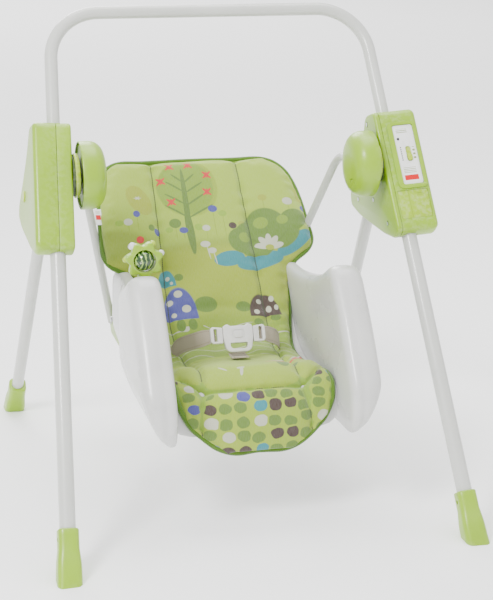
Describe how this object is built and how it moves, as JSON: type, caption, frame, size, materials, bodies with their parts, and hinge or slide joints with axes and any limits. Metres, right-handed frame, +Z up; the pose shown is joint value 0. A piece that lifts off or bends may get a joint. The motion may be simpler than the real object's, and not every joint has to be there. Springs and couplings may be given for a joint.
{
  "type": "baby swing",
  "caption": "Free-standing folding baby swing: splayed tube frame with a motor housing, padded bucket seat on hanger tubes, waist and crotch belts, and a small spinner toy.",
  "frame": {"origin": "on the floor, below the middle of the frame footprint", "axes": "+X to the right as seen by a person facing the seat, +Y to the back, +Z up"},
  "size_m": [0.6056, 0.7406, 0.7112],
  "materials": {
    "powder_white": "smooth white powder coat on thin steel tube, slightly glossy",
    "lime_plastic": "satin moulded lime green plastic with fine texture",
    "deep_lime_plastic": "smooth deeper lime green plastic",
    "white_shell": "smooth moulded white plastic, soft gloss",
    "white_clip": "white moulded acetal buckle plastic",
    "dark_plastic": "dark green matt plastic",
    "steel": "plain bright steel",
    "label": "printed white label film",
    "lens": "black glossy lens",
    "board": "green circuit board",
    "cell": "dark printed cell sleeve",
    "gear": "natural acetal",
    "cover": "printed woven cotton cover, padded and quilted",
    "webbing": "woven beige polyester webbing",
    "toy_ball": "glossy deep green swirl ball"
  },
  "bodies": {
    "frame": {"handle_tube": "powder_white", "left_front_leg": "powder_white", "right_front_leg": "powder_white", "left_front_foot": "lime_plastic", "right_front_foot": "lime_plastic", "left_housing_outer": "lime_plastic", "left_housing_inner": "lime_plastic", "motor_housing_outer": "lime_plastic", "motor_housing_inner": "lime_plastic", "control_label": "label", "indicator_lens": "lens", "label_bezel": "lime_plastic", "left_pivot_collar": "dark_plastic", "right_pivot_collar": "dark_plastic", "left_rear_leg_pin": "steel", "right_rear_leg_pin": "steel", "battery_a": "cell", "battery_b": "cell", "battery_c": "cell", "motor": "steel", "circuit_board": "board"},
    "swing": {"left_hub_cover": "lime_plastic", "left_hub_back": "lime_plastic", "right_hub_cover": "lime_plastic", "right_hub_back": "lime_plastic", "left_hanger_tube": "powder_white", "right_hanger_tube": "powder_white", "cross_tube": "powder_white", "left_seat_bracket": "lime_plastic", "right_seat_bracket": "lime_plastic", "left_recline_pin": "steel", "right_recline_pin": "steel", "left_pivot_axle": "steel", "right_pivot_axle": "steel", "swing_lever": "gear"},
    "seat": {"seat_shell": "white_shell", "left_side_wing": "white_shell", "right_side_wing": "white_shell", "seat_pad": "cover", "crotch_belt": "webbing", "buckle_body": "white_clip", "toy_ring": "lime_plastic", "cover_tag": "label"},
    "left_rear_leg_body": {"left_rear_leg": "powder_white", "left_rear_foot": "lime_plastic"},
    "right_rear_leg_body": {"right_rear_leg": "powder_white", "right_rear_foot": "lime_plastic"},
    "slider": {"speed_slider": "deep_lime_plastic"},
    "door": {"battery_door": "lime_plastic"},
    "left_button": {"left_fold_button": "deep_lime_plastic"},
    "right_button": {"right_fold_button": "deep_lime_plastic"},
    "left_clip": {"left_buckle_clip": "white_clip", "left_waist_belt": "webbing"},
    "right_clip": {"right_buckle_clip": "white_clip", "right_waist_belt": "webbing"},
    "left_latch": {"left_recline_latch": "lime_plastic"},
    "right_latch": {"right_recline_latch": "lime_plastic"},
    "gear": {"drive_gear": "gear"},
    "pinion": {"motor_pinion": "gear"},
    "ball": {"toy_ball": "toy_ball"}
  },
  "joints": [
    {"name": "swing", "type": "hinge", "parent": "frame", "child": "swing", "pos_m": [0, -0.05, 0.485], "axis": [1, 0, 0], "range_deg": [-20, 20]},
    {"name": "seat_recline", "type": "hinge", "parent": "swing", "child": "seat", "pos_m": [0, 0.128, 0.216], "axis": [1, 0, 0], "range_deg": [0, 8]},
    {"name": "left_rear_leg_fold", "type": "hinge", "parent": "frame", "child": "left_rear_leg_body", "pos_m": [-0.25424, 0.00811, 0.47291], "axis": [0.9977, 0, -0.0678], "range_deg": [-60, 0]},
    {"name": "right_rear_leg_fold", "type": "hinge", "parent": "frame", "child": "right_rear_leg_body", "pos_m": [0.25424, 0.00811, 0.47291], "axis": [0.9977, 0, 0.0678], "range_deg": [-60, 0]},
    {"name": "speed_slider", "type": "slide", "parent": "frame", "child": "slider", "axis": [-0.0578, 0.5232, 0.8503], "range_m": [0, 0.012]},
    {"name": "battery_door_open", "type": "hinge", "parent": "frame", "child": "door", "pos_m": [0.25816, -0.12236, 0.41524], "axis": [0.9977, 0, 0.0678], "range_deg": [0, 80]},
    {"name": "left_fold_button_press", "type": "slide", "parent": "frame", "child": "left_button", "axis": [0.9977, 0, -0.0678], "range_m": [0, 0.003], "stiffness_N_per_m": 300, "springref_m": -0.002},
    {"name": "right_fold_button_press", "type": "slide", "parent": "frame", "child": "right_button", "axis": [-0.9977, 0, -0.0678], "range_m": [0, 0.003], "stiffness_N_per_m": 300, "springref_m": -0.002},
    {"name": "left_clip_release", "type": "slide", "parent": "seat", "child": "left_clip", "axis": [-1, 0, 0], "range_m": [0, 0.01]},
    {"name": "right_clip_release", "type": "slide", "parent": "seat", "child": "right_clip", "axis": [1, 0, 0], "range_m": [0, 0.01]},
    {"name": "left_latch_press", "type": "slide", "parent": "seat", "child": "left_latch", "axis": [1, 0, 0], "range_m": [0, 0.003], "stiffness_N_per_m": 300, "springref_m": -0.002},
    {"name": "right_latch_press", "type": "slide", "parent": "seat", "child": "right_latch", "axis": [-1, 0, 0], "range_m": [0, 0.003], "stiffness_N_per_m": 300, "springref_m": -0.002},
    {"name": "drive_gear_spin", "type": "hinge", "parent": "frame", "child": "gear", "pos_m": [0.28674, -0.012, 0.51087], "axis": [0.9977, 0, 0.0678], "continuous": true},
    {"name": "motor_pinion_spin", "type": "hinge", "parent": "frame", "child": "pinion", "pos_m": [0.2855, -0.02, 0.52916], "axis": [0.9977, 0, 0.0678], "continuous": true},
    {"name": "toy_ball_spin", "type": "hinge", "parent": "seat", "child": "ball", "pos_m": [-0.139, -0.118, 0.373], "axis": [1, 0, 0], "continuous": true}
  ],
  "couplings": [
    {"joint": "motor_pinion_spin", "follows": "drive_gear_spin", "ratio": -3}
  ]
}
